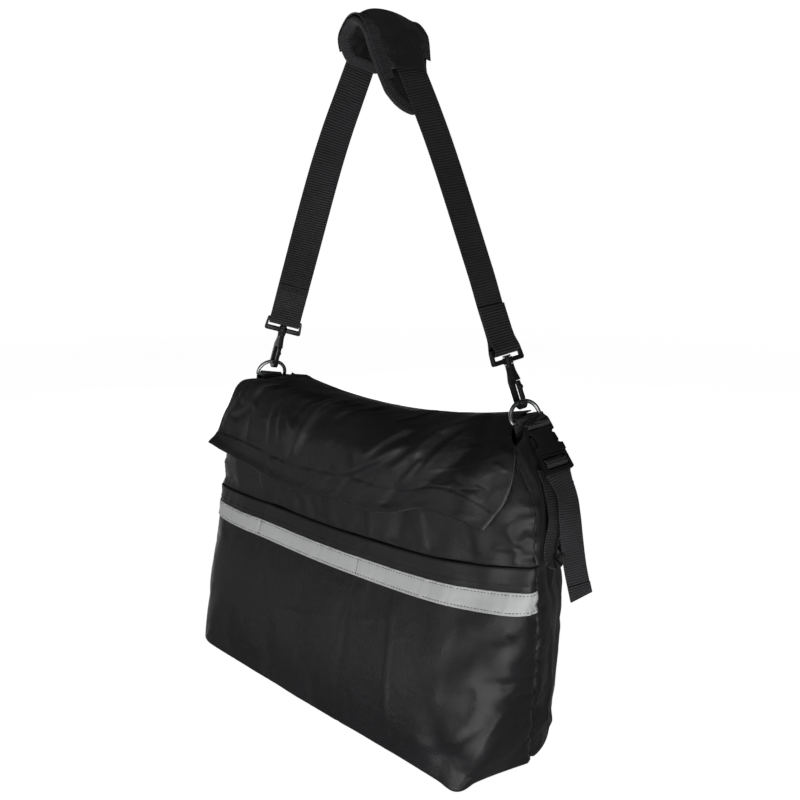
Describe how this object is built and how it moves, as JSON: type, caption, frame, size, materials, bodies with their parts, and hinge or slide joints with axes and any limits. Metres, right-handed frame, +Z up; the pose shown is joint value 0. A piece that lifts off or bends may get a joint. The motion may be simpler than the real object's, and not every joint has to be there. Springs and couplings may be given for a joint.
{
  "type": "wheelchair back bag",
  "caption": "Soft flap-top cloth bag with a front pocket and reflective tape, hung by swivel hooks from a padded shoulder strap, with a side-release buckle at each side.",
  "frame": {"origin": "hanging point on the underside of the shoulder pad, at the top of the strap's arch", "axes": "+Z up along the hang, -Y out of the bag's front, +X to the right seen from the front"},
  "size_m": [0.5391, 0.1927, 0.7966],
  "materials": {
    "cloth": "black coated nylon with a fine weave and a satin sheen",
    "webbing": "black ribbed webbing, dull",
    "plastic": "black moulded plastic, satin",
    "steel": "dark grey plated wire",
    "tape": "silver grey reflective tape"
  },
  "bodies": {
    "bag": {"front_panel": "cloth", "right_gusset": "cloth", "back_panel": "cloth", "left_gusset": "cloth", "bottom_panel": "cloth", "front_pocket": "cloth", "reflective_tape": "tape", "flap": "cloth", "shoulder_strap": "webbing", "shoulder_pad": "cloth", "pad_sleeve": "cloth", "left_swivel_loop": "plastic", "left_d_ring": "steel", "left_buckle_socket": "plastic", "left_buckle_prong": "plastic", "left_ring_tab": "webbing", "left_buckle_strap": "webbing", "right_swivel_loop": "plastic", "right_d_ring": "steel", "right_buckle_socket": "plastic", "right_buckle_prong": "plastic", "right_ring_tab": "webbing", "right_buckle_strap": "webbing"},
    "left_hook_body": {"left_hook": "plastic"},
    "left_gate_body": {"left_gate": "plastic"},
    "right_hook_body": {"right_hook": "plastic"},
    "right_gate_body": {"right_gate": "plastic"}
  },
  "joints": [
    {"name": "left_hook_swivel", "type": "hinge", "parent": "bag", "child": "left_hook_body", "pos_m": [-0.15918, 0, -0.33553], "axis": [0.3632, 0, 0.9317], "range_deg": [-22, 22]},
    {"name": "left_gate_hinge", "type": "hinge", "parent": "left_hook_body", "child": "left_gate_body", "pos_m": [-0.1631, -0.00294, -0.36061], "axis": [0.4414, 0.8807, -0.1721], "range_deg": [0, 22], "stiffness_Nm_per_rad": 0.001},
    {"name": "right_hook_swivel", "type": "hinge", "parent": "bag", "child": "right_hook_body", "pos_m": [0.161, 0, -0.34018], "axis": [-0.3632, 0, 0.9317], "range_deg": [-22, 22]},
    {"name": "right_gate_hinge", "type": "hinge", "parent": "right_hook_body", "child": "right_gate_body", "pos_m": [0.1751, -0.00294, -0.36131], "axis": [0.4414, 0.8807, 0.1721], "range_deg": [0, 22], "stiffness_Nm_per_rad": 0.001}
  ]
}
